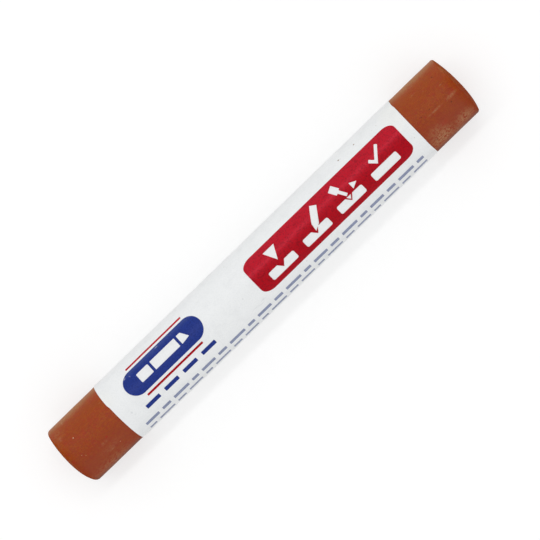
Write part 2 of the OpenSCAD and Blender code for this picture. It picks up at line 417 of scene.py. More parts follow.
waxValues = {  # pairs of values are for the -X and the +X end
    "around": 320,  # points round the stick
    "rowGap": 0.25,
    "hiddenRowGap": 2.5,  # under the label
    "tuck": 2,  # how far the close rows go on under the label
    "domeRows": 23,
    "rimRows": 11,
    "domeRise": 0.58,
    "poleRise": 0.003,  # of the last point of each end
    "rimRadius": (0.56, 0.42),
    "hollows": [  # depth, stretch of the pattern, size, seed, most
        (0.018, 1, 7, 3, 2),
        (0.004, 0.04, 0.9, 5, 1.5),
    ],
    "bareFrom": 0.1,  # hollows start this far from the label
    "bareFade": 0.8,  # and are full after as much again as this
    "sideCurve": 6,  # how steeply they fade from the side towards the poles
    "swell": (0.006, 5, 11),  # height, size and seed of low waves on the ends
    "setBack": (0.03, 0),
    "wornBack": (0.26, 0.05),  # at the rims
    "wornTilt": (0.35, 0.8),  # share by which the lower rim is worn more and the upper one less
    "wornLow": (0.27, 0.15),  # more of it at the lower corner
    "lowCorner": (0.5, 0.44, 1.2, 1.5),  # sine of the turn where that starts, its rise, most and curve
    "wearCurve": 4,  # how steeply the wear fades from the rims towards the poles
    "shader": {"Specular IOR Level": 0.04, "Coat IOR": 1.25, "Coat Roughness": 0.55},
    "colours": {
        "plain": (0.3, 0.0385, 0.002, 1),
        "dark": (0.19, 0.026, 0.006, 1),
        "warm": (0.35, 0.066, 0.0015, 1),
        "red": (0.33, 0.023, 0.009, 1),
        # the next two colours are painted shade, for the lower side of the stick and for its lower edge
        "dusk": (0.25, 0.04, 0.014, 1),
        "low": (0.17, 0.045, 0.022, 1),
        "dull": (0.25, 0.058, 0.026, 1),
        "grain": (0.5, 0.12, 0.035, 1),
        # colour of the pale bloom and scuffs, and of the painted sheen marks of the upper flank
        "bloom": (0.44, 0.235, 0.115, 1),
        # top: painted sheen, a pale band along the upper flank
        "top": (0.35, 0.165, 0.03, 1),
        "speck": (0.72, 0.5, 0.32, 1),
        # painted shade, nearly black, for pits and chips
        "pit": (0.085, 0.019, 0.003, 1),
    },
    "wideGrain": (6, 0.9, 0.22, 12),
    "smallGrain": (2, 0.4, 0.12, 5),
    "rightFade": (-9, 9),  # along the stick, from the shares of one end to those of the other
    "layers": [  # source, from, to, share, colour
        ("wideClouds", 0.38, 0.62, 0.85, "warm"),
        ("smallClouds", 0.5, 0.64, 0.8, "red"),
        ("wideMottle", 0.45, 0.7, 0.45, "dark"),
        ("smallMottle", 0.5, 0.62, 0.7, "warm"),
        ("smallMottle", 0.48, 0.36, 0.9, "red"),
        ("smallStreaks", 0.5, 0.66, 0.45, "dull"),
        ("smallStreaks", 0.5, 0.34, 0.5, "warm"),
        ("wideStreaks", 0.45, 0.7, 0.3, "dark"),
        ("smallFine", 0.42, 0.68, (0.85, 1), "dark"),
        ("wideFine", 0.5, 0.32, (0.22, 0.34), "grain"),
        # the next three layers paint light and shade: the upper side taken lighter and warmer, the lower side
        # darker, and its lower edge darker still
        ("lowSide", 3, -4.3, 0.36, "warm"),
        ("lowSide", 0.5, 4.6, 0.55, "dusk"),
        ("across", 4.9, 5.6, 0.9, "low"),
    ],
    "masks": {  # source, from, to, most
        "end": ("inward", 0.03, 0.4, 0.16),
        "endBloom": ("wideMottle", 0.42, 0.66),
        "blotches": ("smallMottle", 0.34, 0.6),
        "grains": ("smallFine", 0.4, 0.62, 0.9),
        # top: where the painted sheen of the upper flank lies
        "top": ("across", -4.5, -5.4, 0.35),
        "crumbs": ("wideFine", 0.52, 0.66, 0.8),
        "broken": ("wideFine", 0.34, 0.6),
        "brokenWide": ("smallMottle", 0.3, 0.58),
        "side": ("inward", 0.18, 0.03),
        "under": ("across", 2.8, 5.1, 0.5),
        "nearEnd": ("fromMiddle", 40.4, 42.4, 0.85),
        "nearEndLow": ("across", -3.3, -0.8),
    },
    "lowSideSpread": 3,  # how far clouds move the layers of the lower side
    "leastGrains": 0.4,
    "bloomShare": 0.85,
    "bloomRubbed": 0.5,  # how much of the skin's gloss the bloom takes
    "endRoughness": 0.95,
    "sideRoughness": 0.5,
    "bump": (0.3, 0.00003),
    "bumpStreaks": 0.7,
}


def endProfile(v, rim):
    # Half profile from the pole of one end: sphere cap, an arc that meets both sphere and side, and the side
    r, half = waxRadius, waxLength / 2
    domeRadius = (r ** 2 + v["domeRise"] ** 2) / (2 * v["domeRise"])
    domeMiddle = half - domeRadius
    rimMiddle = domeMiddle + math.sqrt((domeRadius - rim) ** 2 - (r - rim) ** 2)
    rimStart = math.asin((r - rim) / (domeRadius - rim))
    a = np.linspace(0, rimStart, v["domeRows"] + 1)[1:]
    b = np.linspace(rimStart, np.pi / 2, v["rimRows"] + 1)[1:]
    nearLabel = min(labelEnd, -labelStart) - v["tuck"]
    side = np.concatenate([np.arange(rimMiddle - v["rowGap"], nearLabel, -v["rowGap"]),
                           np.arange(nearLabel, 0, -v["hiddenRowGap"])])
    height = np.concatenate([domeMiddle + domeRadius * np.cos(a), rimMiddle + rim * np.cos(b), side])
    radius = np.concatenate([domeRadius * np.sin(a), r - rim + rim * np.sin(b), np.full(len(side), r)])
    return height, radius, rimMiddle


def waxSurface(v):
    # Both ends' profiles are carried round the axis. The radius loses a little to waves, drawn streaks and
    # nicks. The ends are worn back at their rims, the -X end more, and most of all below; low swells cover them.
    left, leftRadius, leftMiddle = endProfile(v, v["rimRadius"][0])
    right, rightRadius, rightMiddle = endProfile(v, v["rimRadius"][1])
    x = np.concatenate([right, -left[::-1]])
    radius = np.concatenate([rightRadius, leftRadius[::-1]])
    turn = np.linspace(0, 2 * np.pi, v["around"], endpoint=False)
    x, turn = np.meshgrid(x, turn, indexing="ij")
    radius = np.repeat(radius[:, None], v["around"], axis=1)
    y, z = -radius * np.sin(turn), radius * np.cos(turn)
    clear, fade = v["bareFrom"], v["bareFade"]
    bare = np.clip((x - labelEnd - clear) / fade, 0, 1) + np.clip((labelStart - clear - x) / fade, 0, 1)
    lost = np.zeros(x.shape)
    for depth, stretch, size, seed, most in v["hollows"]:
        lost += depth * np.clip(0.5 + 0.5 * softNoise(x * stretch, y, z, size, seed), 0, most)
    for at, roundAt, long, wide, deep in waxNicks:
        away = ((x - at) / long) ** 2 + (wrapAngle(turn - roundAt / waxRadius) * waxRadius / wide) ** 2
        lost += deep * np.exp(-away)
    share = np.clip(radius / waxRadius, 0, 1)
    radius = radius - lost * bare * share ** v["sideCurve"]
    isLeft = x < 0
    rim = np.where(isLeft, *v["rimRadius"])
    middle = np.where(isLeft, leftMiddle, rightMiddle)
    endShare = np.clip((np.abs(x) - middle + rim) / rim, 0, 1)
    height, size, seed = v["swell"]
    swell = (1 + softNoise(0, y, z, size, seed)) * height
    tilt = np.where(isLeft, *v["wornTilt"]) * np.sin(turn)
    start, rise, most, curve = v["lowCorner"]
    low = np.clip((np.sin(turn) - start) / rise, 0, most) ** curve
    worn = np.where(isLeft, *v["wornBack"]) * (1 + tilt) + np.where(isLeft, *v["wornLow"]) * low
    x = x - np.sign(x) * endShare * (np.where(isLeft, *v["setBack"]) + swell + worn * share ** v["wearCurve"])
    return x, turn, radius


# along, round, half length, half width, depth
waxNicks = [
    (42.75, 0.85, 0.3, 0.16, 0.3), (37.4, 0.66, 1.4, 0.12, 0.02), (40.6, 0.66, 1.1, 0.16, 0.02),
    (40.47, -3.76, 0.3, 0.1, 0.05), (34.97, -0.07, 0.1, 0.2, 0.05), (42.75, 2.4, 0.3, 0.2, 0.12),
    (-39.3, 2.4, 0.2, 0.3, 0.04), (-34.6, -3, 1.6, 0.06, 0.02), (-42.4, -3.2, 0.35, 0.3, 0.12),
    (36.9, 4.6, 0.4, 0.25, 0.05), (34.3, 4.8, 0.2, 0.25, 0.05), (-36, 14, 1.2, 0.1, 0.05),
    (39, -12.5, 0.3, 1.1, 0.06),
]


def waxMap(x, turn, radius, endRows):
    # Bake map: the side unrolled, with its stretch under the label squeezed, and both ends laid flat beside it
    margin, whole, squeeze, hidden = 0.005, 0.99, 0.02, 0.5
    endAcross, rightUp, leftUp = 0.835, 0.17, 0.51
    rows, columns = x.shape
    scale = whole / (2 * np.pi * waxRadius)
    step = np.hypot(np.diff(x[:, 0]), np.diff(radius[:, 0]))
    step[(x[:-1, 0] < labelEnd - hidden) & (x[1:, 0] > labelStart + hidden)] *= squeeze
    along = np.concatenate([[0], np.cumsum(step)])
    along = margin + scale * (along - along[endRows])
    i, j, _ = ringQuads(rows, columns)
    row, column = np.stack([i, i + 1, i + 1, i], 1), np.stack([j, j, j + 1, j + 1], 1)
    side = np.stack([along[row], margin + whole * column / columns], -1)
    ends = np.stack([endAcross - np.sign(x) * scale * radius * np.sin(turn),
                     np.where(x > 0, rightUp, leftUp) + scale * radius * np.cos(turn)], -1)
    isEnd = (i < endRows) | (i >= rows - 1 - endRows)
    quads = np.where(isEnd[:, None, None], ends[row, column % columns], side)
    ring = np.arange(columns)
    nextRing = (ring + 1) % columns
    poleRight, poleLeft = (np.tile((endAcross, up), (columns, 1)) for up in (rightUp, leftUp))
    capRight = np.stack([poleRight, ends[0, ring], ends[0, nextRing]], 1)
    capLeft = np.stack([poleLeft, ends[-1, nextRing], ends[-1, ring]], 1)
    return np.concatenate([quads.reshape(-1, 2), capRight.reshape(-1, 2), capLeft.reshape(-1, 2)])


def makeWax(v, material):
    # Rings of the surface joined by quads, and a point just outside each end that closes it
    x, turn, radius = waxSurface(v)
    rows, columns = x.shape
    poles = [(x[0].mean() + v["poleRise"], 0, axisHeight), (x[-1].mean() - v["poleRise"], 0, axisHeight)]
    places = np.concatenate([roundPlace(x, turn, radius).reshape(-1, 3), poles])
    ring = np.arange(columns)
    nextRing, last = (ring + 1) % columns, (rows - 1) * columns
    capRight = np.stack([np.full(columns, rows * columns), ring, nextRing], 1)
    capLeft = np.stack([np.full(columns, rows * columns + 1), last + nextRing, last + ring], 1)
    faces = ringQuads(rows, columns)[2].tolist() + capRight.tolist() + capLeft.tolist()
    cornerMap = waxMap(x, turn, radius, v["domeRows"] + v["rimRows"] // 2)
    return makePiece("castWax", places, faces, material, cornerMap)


# along, round, half length, half width, softness, strength
waxScuffs = [
    (37.3, 0.62, 2.1, 0.3, 1, 0.55), (40.7, 0.6, 1.7, 0.5, 1, 0.55), (36.3, -3.94, 0.9, 0.16, 1, 0.35),
    (40.62, -1.73, 0.4, 0.16, 0.9, 0.45), (38, -3.06, 0.25, 0.2, 0.9, 0.35),
    (38.08, -0.5, 0.14, 0.12, 0.8, 0.4), (-39.3, -6.1, 0.25, 0.6, 0.9, 0.9), (-38.7, -6.8, 0.7, 0.3, 0.9, 0.8),
    (-40.96, -3.5, 0.5, 0.6, 1, 0.4), (-32.5, -3.35, 0.35, 0.12, 0.9, 0.5), (-36.1, 3.88, 0.7, 0.2, 1, 0.4),
    (-36.4, 2, 1.4, 0.4, 1, 0.3), (-35, 14, 2, 0.1, 0.8, 0.5), (37.5, -12, 2.4, 0.12, 0.8, 0.5),
    (-39, -11.5, 1.6, 0.3, 0.9, 0.5), (39.4, 11, 1.4, 0.1, 0.8, 0.5),
]
waxSpecks = [
    (-39.27, -2.09, 0.1, 0.1, 0.4, 1), (-40.16, 0.9, 0.08, 0.08, 0.5, 0.5), (-34.38, 3.88, 0.09, 0.09, 0.5, 0.4),
    (-39.7, 1.37, 0.07, 0.09, 0.5, 0.35), (35.84, 5.87, 0.12, 0.12, 0.5, 0.3), (-37, 12.5, 0.1, 0.1, 0.5, 0.6),
]
# dark marks of painted shade in small pits
waxPitShade = [
    (40.47, -3.76, 0.17, 0.12, 0.5, 0.8), (34.97, -0.07, 0.12, 0.2, 0.6, 0.7),
    (36.74, -0.14, 0.22, 0.1, 0.6, 0.7), (40.06, 1.43, 0.22, 0.16, 0.7, 0.75),
    (34.29, 4.75, 0.16, 0.16, 0.6, 0.8), (40.67, 4.97, 0.16, 0.12, 0.7, 0.4),
    (-38.63, 1.52, 0.12, 0.12, 0.6, 0.4), (-40.44, 2.05, 0.12, 0.1, 0.6, 0.4),
    (38.2, -13, 0.15, 0.1, 0.5, 0.6),
]
waxRedSpots = [(-35.33, 1.52, 0.3, 0.24, 0.9, 1), (-42.0, 0.86, 0.3, 0.5, 1, 0.5), (37.0, 3.2, 1.4, 0.7, 1, 0.4)]
# pale bloom marks; the two at round -7.3 on the upper flank are painted sheen
waxBloomAndSheen = [
    (35.4, 5.3, 3.5, 2.7, 1, 1), (39.9, 5.6, 2.9, 2.3, 1, 0.85), (35.2, 3.4, 2.6, 1.6, 1, 0.45),
    (38, 6.8, 5.6, 2.2, 1, 0.45), (-37.5, 6.6, 6.5, 3, 1, 0.4), (-36, 3.4, 3, 1.2, 1, 0.16),
    (-37, -7.3, 5.8, 2.2, 1, 0.8), (37.5, -7.3, 5.4, 2.4, 1, 0.95), (-41, -4.6, 1.6, 1.8, 1, 0.25),
    (42.4, -3.6, 0.4, 2, 1, 0.35), (38.5, -10.5, 4, 2.5, 1, 0.6), (-37, -14, 4, 3, 1, 0.6),
]

# dark marks of painted shade where the end faces are chipped
# x, y, height from the axis, radius, strength
endChipShade = [
    (42.93, -0.74, 1.9, 0.36, 0.8), (42.75, -2.6, 2.4, 0.3, 0.5), (42.8, 2.1, -1.4, 0.5, 0.5),
    (42.7, 1, -3.6, 0.35, 0.6), (-42.85, 0.9, 1.2, 0.4, 0.5), (-42.7, -2.4, -1.8, 0.5, 0.5),
    (-42.5, 3.1, -2.6, 0.3, 0.6),
]


def waxMaterial(v):
    # Layers of noise over the plain colour, then placed marks. Some of them are painted light and shade: the
    # upper side lighter and warmer with a painted sheen along its flank, the lower side and its lower edge
    # darker, and painted shade in pits and chips. The side keeps the smooth skin of its mould, and the ends, the
    # bloom marks and the underside are rubbed dull.
    material, shader, place = newMaterial("castBrownWax", v["shader"])
    colours = v["colours"]
    sources = {"across": place["Across"], "fromMiddle": calc("ABSOLUTE", place["Along"]),
               "inward": calc("SUBTRACT", waxRadius, place["Out"]),
               "right": softStep(place["Along"], *v["rightFade"])}
    for width in ("wide", "small"):
        for output in addGrain(place, v[width + "Grain"]):
            sources[width + output.name] = output
    sources["lowSide"] = calc("MULTIPLY_ADD", sources["wideClouds"], v["lowSideSpread"], place["Across"])
    masks = {name: softStep(sources[source], *steps) for name, (source, *steps) in v["masks"].items()}

    colour = layered(colours["plain"], v["layers"], sources, colours)
    grains = times(masks["blotches"], calc("ADD", masks["grains"], v["leastGrains"]))
    bloom = times(ovalMarks(place, waxBloomAndSheen), grains)
    scuffs = times(ovalMarks(place, waxScuffs), times(masks["broken"], masks["brokenWide"]))
    for mask, towards in ((ovalMarks(place, waxRedSpots), "red"),
                          (times(masks["endBloom"], masks["end"]), "bloom"),
                          # pale bloom, two of its marks painted sheen of the upper flank
                          (times(bloom, v["bloomShare"]), "bloom"),
                          # painted sheen along the upper flank
                          (masks["top"], "top"),
                          (times(bloom, masks["crumbs"]), "dark"),
                          (scuffs, "bloom"),
                          (ovalMarks(place, waxSpecks), "speck"),
                          # painted shade of chips and pits
                          (pointMarks(place, endChipShade), "pit"),
                          (ovalMarks(place, waxPitShade), "pit")):
        colour = blendColour(mask, colour, colours[towards])

    rubbed = strongest([times(bloom, v["bloomRubbed"]), masks["under"],
                        times(masks["nearEnd"], masks["nearEndLow"])])
    skin = calc("SUBTRACT", masks["side"], rubbed, clamp=True)
    rough = addNode("MapRange", {"Value": skin, "To Min": v["endRoughness"], "To Max": v["sideRoughness"]})
    height = calc("MULTIPLY_ADD", sources["wideStreaks"], v["bumpStreaks"], sources["smallFine"])
    feed(shader, {"Base Color": colour, "Coat Weight": skin, "Roughness": rough.outputs["Result"],
                  "Normal": addBump(height, *v["bump"])})
    return material


wax = makeWax(waxValues, waxMaterial(waxValues))
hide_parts("wax_stick")
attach(wax, "root")
print("wax rod made")


labelValues = {
    "freeEdge": -110,  # degrees round the stick
    "lap": 3.4,
    "climb": 0.8,  # length of the slope onto its own start
    "climbRows": 7,
    "sheetThickness": 0.04,
    "wave": (0.007, 0.6, 6, 21, 1.3),  # height, stretch of the pattern, size, seed, lowering
    "leftEdge": {"set": -0.06, "skew": 0.07, "step": 0.14, "stepAt": -0.3, "soft": 0.025, "reach": 0.75,
                 "reachAt": -0.35},  # turns in radians
    "rightEdge": {"set": -0.04, "skew": 0.02,
                  "dips": [(0.1, -1.02, 0.13), (0.05, 0.75, 0.25), (0.04, -1.3, 0.2)]},  # depth, turn, reach
    "columnGap": 1.3,
    "stepDegrees": 1.4,
    "shader": {"Specular IOR Level": 0.18},
    "colours": {
        "plain": (0.852, 0.866, 0.871, 1),
        "grey": (0.5, 0.52, 0.54, 1),
        "stain": (0.8, 0.72, 0.4, 1),
        "speck": (0.2, 0.1, 0.035, 1),
    },
    "grain": (9, 1.6, 0.5, 3),
    "haze": (0.45, 0.75, 0.1),  # from, to, share: grey, and as much roughness
    "layers": [("Clouds", 0.3, 0.7, 0.04, "grey"), ("Fine", 0.4, 0.7, 0.12, "grey")],
    "wobble": 0.8,  # unevenness of the edges of stains and smudges
    "roughness": 0.36,
    "bump": (0.15, 0.00002),
}
coatValues = {
    "inset": 0.12,  # from the sheet's edges
    "shader": {"Roughness": 0.3},
    "colours": ((0.7, 0.62, 0.45, 1), (0.5, 0.36, 0.2, 1)),
    "grain": (6, 1, 0.2, 8),
}


def sheetWave(x, turn):
    # Low waves of the laid sheet, all below its full height; the ink shares them
    height, stretch, size, seed, lowering = labelValues["wave"]
    y, z = -sheetRadius * np.sin(turn), sheetRadius * np.cos(turn)
    return height * np.minimum(softNoise(x * stretch, y, z, size, seed) - lowering, 0)


def edgeShift(turn, side):
    # How far the label's edge runs past its mean line: a slight skew, and a small step or dips in the cut
    t = wrapAngle(turn)
    if side < 0:
        e = labelValues["leftEdge"]
        step = np.exp(-((t - e["reachAt"]) / e["reach"]) ** 2) / (1 + np.exp((t - e["stepAt"]) / e["soft"]))
        return e["set"] + e["skew"] * np.maximum(np.sin(t), 0) - e["step"] * step
    e = labelValues["rightEdge"]
    dips = sum(depth * np.exp(-((t - at) / reach) ** 2) for depth, at, reach in e["dips"])
    return e["set"] + e["skew"] * np.sin(t) - dips


def woundStrip(inset, innerRadius, thickness, v, wave):
    # Spiral once round and over its own start: the radius rises by one layer along the climb.
    # A closed loop of outer face, edge, inner face and edge is carried round the spiral.
    layer = coatRadius - waxRadius + v["sheetThickness"]
    end = math.radians(v["freeEdge"]) + 2 * np.pi
    climbEnd = end - v["lap"] / sheetRadius
    climb = v["climb"] / sheetRadius
    turns = np.arange(climbEnd - 2 * np.pi, end, math.radians(v["stepDegrees"]))
    turns = np.unique(np.concatenate([turns, np.linspace(climbEnd - climb, climbEnd, v["climbRows"]), [end]]))
    rise = np.clip((turns - climbEnd + climb) / climb, 0, 1)
    rise = layer * rise * rise * (3 - 2 * rise)
    count = int((labelEnd - labelStart) / v["columnGap"])
    left = labelStart + inset + edgeShift(turns, -1)
    right = labelEnd - inset + edgeShift(turns, 1)
    x = left[:, None] + (right - left)[:, None] * np.linspace(0, 1, count)[None]
    turn = np.repeat(turns[:, None], count, axis=1)
    inner = innerRadius + rise[:, None] + wave * sheetWave(x, turn)
    x = np.concatenate([x, x[:, ::-1]], 1)
    turn = np.concatenate([turn, turn], 1)
    radius = np.concatenate([inner + thickness, inner[:, ::-1]], 1)
    return x, turn, radius


def boxMap(left, low, right, high):
    # Boxes of a bake map, each from its upper left corner down and round
    return np.stack(np.broadcast_arrays(left, high, left, low, right, low, right, high), -1).reshape(-1, 4, 2)


def stripPiece(name, x, turn, radius, material):
    # The rows run round the stick; each row's loop goes along the outer face and back along the inner one
    rows, columns = x.shape
    places = roundPlace(x, turn, radius).reshape(-1, 3)
    i, j, quads = ringQuads(rows, columns)
    half = columns // 2
    k = np.arange(half - 1)
    firstEnd = np.stack([k, k + 1, columns - 2 - k, columns - 1 - k], 1)
    lastEnd = (rows - 1) * columns + np.stack([k, columns - 1 - k, columns - 2 - k, k + 1], 1)
    wall = (j == half - 1) | (j == columns - 1)
    faces = quads[~wall].tolist() + quads[wall].tolist() + firstEnd.tolist() + lastEnd.tolist()
    # its bake map gives nearly all of the square to the outer face, and narrow bands to the inner face and walls
    start, wide, wallWide, rightWall, leftWall = 0.03, 0.94, 0.015, 0.975, 0.005
    outerTop, outerTall, innerTop, innerTall = 0.995, 0.935, 0.055, 0.027
    firstLow, firstHigh, lastLow, lastHigh = 0.002, 0.011, 0.015, 0.024
    boxWide = wide / (half - 1)
    left = np.where(wall, np.where(j < half, rightWall, leftWall), start + boxWide * (j % half))
    right = left + np.where(wall, wallWide, boxWide)
    inner = (j >= half) & ~wall
    top, tall = np.where(inner, innerTop, outerTop), np.where(inner, innerTall, outerTall)
    quadMap = boxMap(left, top - tall * (i + 1) / (rows - 1), right, top - tall * i / (rows - 1))
    a, b = start + boxWide * k, start + boxWide * (k + 1)
    firstMap = np.roll(boxMap(a, firstLow, b, firstHigh), -1, 1)
    cornerMap = np.concatenate([quadMap[~wall], quadMap[wall], firstMap, boxMap(a, lastLow, b, lastHigh)])
    return makePiece(name, places, faces, material, cornerMap, flatFaces=int(wall.sum()) + 2 * (half - 1))


# along, round, half length, half width, softness, strength
labelSpecks = [
    (20.94, -4.93, 0.2, 0.16, 0.6, 0.95), (21.3, -4.84, 0.22, 0.06, 0.8, 0.35),
    (24.39, -5.09, 0.18, 0.15, 0.6, 0.95), (27.99, -4.54, 0.12, 0.12, 0.7, 0.22),
    (28.96, -4.63, 0.14, 0.12, 0.7, 0.28), (-3.64, -5.81, 0.12, 0.1, 0.7, 0.3),
    (6.48, 3.86, 0.12, 0.1, 0.7, 0.35), (32.03, 1.46, 0.12, 0.12, 0.7, 0.3), (-25.4, -4.9, 0.1, 0.1, 0.7, 0.25),
    (3.2, 12.6, 0.16, 0.14, 0.7, 0.6), (-17.6, -13.2, 0.14, 0.12, 0.7, 0.5), (14.9, -12.1, 0.12, 0.1, 0.7, 0.5),
]
labelSmudges = [
    (-4.82, 0.86, 0.14, 0.2, 0.8, 0.35), (-6.2, 1.46, 0.12, 0.1, 0.8, 0.3), (-4.4, 3.5, 1, 0.1, 0.9, 0.3),
    (-2.6, 3.35, 0.7, 0.22, 1, 0.32), (-3.4, 3.75, 1.3, 0.12, 1, 0.3), (-29.81, 1.57, 0.25, 0.3, 0.9, 0.35),
    (-29.6, 2.2, 0.3, 0.12, 0.9, 0.22), (8, 12, 2.2, 0.4, 1, 0.3), (-12, -10, 1.8, 0.5, 1, 0.25),
    (22, 14, 1.4, 0.3, 1, 0.3), (-24, 11, 1, 0.5, 1, 0.25),
]
labelStains = [
    (-31.4, -3.2, 2, 3, 1, 0.045), (32, -4, 3.6, 5.5, 0.9, 0.06), (-31.2, 12, 1.6, 5, 1, 0.2),
    (32.2, -11, 1.8, 4, 1, 0.2),
]


def labelMaterial(v):
    # White taken towards grey by haze, clouds and fibres, then stains, smudges and specks
    material, shader, place = newMaterial("labelStock", v["shader"])
    colours = v["colours"]
    grain = addGrain(place, v["grain"])
    haze = softStep(grain["Mottle"], *v["haze"])
    colour = blendColour(haze, colours["plain"], colours["grey"])
    colour = layered(colour, v["layers"], grain, colours)
    wobble = uneven(grain["Mottle"], v["wobble"])
    for mask, towards in ((ovalMarks(place, labelStains, wobble), "stain"),
                          (ovalMarks(place, labelSmudges, wobble), "grey"),
                          (ovalMarks(place, labelSpecks), "speck")):
        colour = blendColour(mask, colour, colours[towards])
    feed(shader, {"Base Color": colour, "Roughness": calc("ADD", haze, v["roughness"]),
                  "Normal": addBump(grain["Fine"], *v["bump"])})
    return material


def coatMaterial(v):
    # Two colours of clear adhesive, mixed by the mottle
    material, shader, place = newMaterial("clearAdhesive", v["shader"])
    grain = addGrain(place, v["grain"])
    feed(shader, {"Base Color": blendColour(grain["Mottle"], *v["colours"])})
    return material


strip = woundStrip(coatValues["inset"], waxRadius, coatRadius - waxRadius, labelValues, False)
coat = stripPiece("adhesiveLayer", *strip, coatMaterial(coatValues))
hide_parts("adhesive_coat")
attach(coat, "root")
strip = woundStrip(0, coatRadius, labelValues["sheetThickness"], labelValues, True)
sheet = stripPiece("woundLabel", *strip, labelMaterial(labelValues))
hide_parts("label_sheet")
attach(sheet, "root")
print("label made")


inkValues = {  # shared by the three inks
    "top": 0.03,  # height of an ink film over the sheet
    "bottom": -0.008,  # its underside, just inside the sheet
    "corner": 0.09,  # rounding of small corners
    "rowGap": 0.3,  # between cuts along the stick
    "columnGap": 1.6,  # and across it
    "cutShift": 0.37,  # of the cuts, as a share of their gap
    "cutReach": 0.0002,  # points as near as this to a cut are on it
    "weld": 0.0005,
    "fillTurn": 27,  # degrees
    "grain": (3, 0.26, 0.3, 4),
    "thinSpread": 1.2,  # unevenness of the edge between thick and thin
    "mottle": (0.42, 0.66),
    "gaps": (0.62, 0.75),
    "rubbed": (0.4, 0.6),
    "mottleRoughness": 0.06,
    "bump": (0.1, 0.00002),
}

# thin: how far round the stick the ink starts and ends passing to its second, paler colour, which on the red and
# blue panels is a painted highlight of their upper side and on the fine print is thinner ink; scuffs as on the
# label
redValues = {
    "colour": (0.388, 0.0013, 0.006, 1), "thinColour": (0.504, 0.01, 0.023, 1), "thin": (1.2, -2.8),
    "mottle": 0.44, "gaps": 0.04, "roughness": 0.27, "scuffs": [],
    "shader": {"Specular IOR Level": 0.6, "Specular Tint": (1, 0.14, 0.22, 1)},
    "panelGap": 10.2,  # between the blue panel and this one
    "width": 6.5, "inset": 2.1, "cornerLength": 2, "cornerWidth": 1.3, "margin": 1.5,
    "boardGap": 2, "boardHeight": 1.5, "boardDrop": 2.3, "boardCorner": 0.3,
    "scratchWidth": 1.5, "scratchDepth": 0.9, "pictures": 4, "top": 2.1, "tool": 1.2, "stroke": 0.55,
    "stickLean": 35, "scraperLean": 30, "tickLong": 50, "tickShort": 135,  # degrees
    "ruleWidth": 0.35, "ruleLength": 12, "ruleGap": 0.45,
}
blueValues = {
    "colour": (0.0132, 0.0333, 0.229, 1), "thinColour": (0.035, 0.062, 0.26, 1), "thin": (-2.6, -3.6),
    "mottle": 0.22, "gaps": 0.05, "roughness": 0.34,
    "scuffs": [(-27.2, -3.3, 0.5, 0.4, 1, 0.5), (-26.2, -2.9, 0.25, 0.3, 1, 0.4), (-20, -3.4, 0.6, 0.2, 1, 0.3)],
    "shader": {"Specular IOR Level": 0.12},
    "length": 16.2, "width": 4.4, "inset": 3.6, "up": 1.5, "panelSteps": 18,
    "stickLength": 10.4, "stickWidth": 1.7,
    "tipShare": 0.16, "bandShare": 0.045, "capShare": 0.24, "tipWear": 0.35,  # of the drawn stick
    "boldLength": 2.9, "boldHeight": 0.7, "boldCount": 4, "boldDown": 2.7,
}
fineInkValues = {
    "colour": (0.27, 0.305, 0.44, 1), "thinColour": (0.31, 0.34, 0.46, 1), "thin": (6.6, 7.4),
    "mottle": 0.2, "gaps": 0.25, "roughness": 0.38, "scuffs": [],
    "shader": {"Specular IOR Level": 0.12},
    "inset": 1.7, "height": 0.65, "gap": 0.8, "down": 5.2, "pitch": 1.75, "groups": 5,
    "shares": (0.31, 0.19, 0.35, 0.15),  # of a group's printed length
}

pillX = labelStart + blueValues["inset"] + blueValues["length"] / 2
panelLength = (labelEnd - labelStart - blueValues["inset"] - blueValues["length"] - redValues["panelGap"]
               - redValues["inset"])
panelX = labelEnd - redValues["inset"] - panelLength / 2


def roundedBox(length, width, rx, ry, steps=10):
    # Rectangle round the origin with elliptical corners
    a = np.linspace(0, np.pi / 2, steps)
    corner = np.stack([rx * np.cos(a), ry * np.sin(a)], 1)
    flip = corner[::-1] * (-1, 1)
    middle = np.array([length / 2 - rx, width / 2 - ry])
    return np.concatenate([corner + middle, flip + middle * (-1, 1), -corner - middle,
                           -flip + middle * (1, -1)])


def boxPoints(left, low, right, high):
    # Corners of an upright box, round from its lower left
    return np.array([(left, low), (right, low), (right, high), (left, high)], float)


def softCorners(points, size, steps=4, most=0.4):
    # Each corner replaced by a short curve that starts and ends the given size away from it,
    # or less where the given share of its side is less
    p = np.array(points, float)
    before, after = np.roll(p, 1, 0) - p, np.roll(p, -1, 0) - p
    lengthBefore = np.linalg.norm(before, axis=1, keepdims=True)
    lengthAfter = np.linalg.norm(after, axis=1, keepdims=True)
    a = p + before / lengthBefore * np.minimum(size, lengthBefore * most)
    b = p + after / lengthAfter * np.minimum(size, lengthAfter * most)
    s = np.linspace(0, 1, steps)[None, :, None]
    curve = a[:, None] * (1 - s) ** 2 + 2 * p[:, None] * s * (1 - s) + b[:, None] * s ** 2
    return curve.reshape(-1, 2)


def barShape(x, y, length, height):
    # Bar round a point, with softened corners
    return softCorners(boxPoints(-length, -height, length, height) / 2 + (x, y), inkValues["corner"])


def turned(points, degrees, at=(0, 0)):
    # Points turned about the origin and then moved
    a = math.radians(degrees)
    return np.array(points, float) @ np.array([[math.cos(a), math.sin(a)], [-math.sin(a), math.cos(a)]]) + at


def meeting(a, b, c, d):
    # Where the line through a and b meets the line through c and d
    a, b, c, d = (np.array(p, float) for p in (a, b, c, d))
    r, s, w = b - a, d - c, c - a
    return a + r * (w[0] * s[1] - w[1] * s[0]) / (r[0] * s[1] - r[1] * s[0])


def boardOutline(v, length, cut=()):
    # Board on the lower line, with the points of a cut let into its top edge
    box = roundedBox(length, v["boardHeight"], v["boardCorner"], v["boardCorner"])
    box = box + (0, v["boardHeight"] / 2 - v["boardDrop"])
    steps = len(box) // 4
    return np.concatenate([box[:steps], np.reshape(cut, (-1, 2)), box[steps:]])


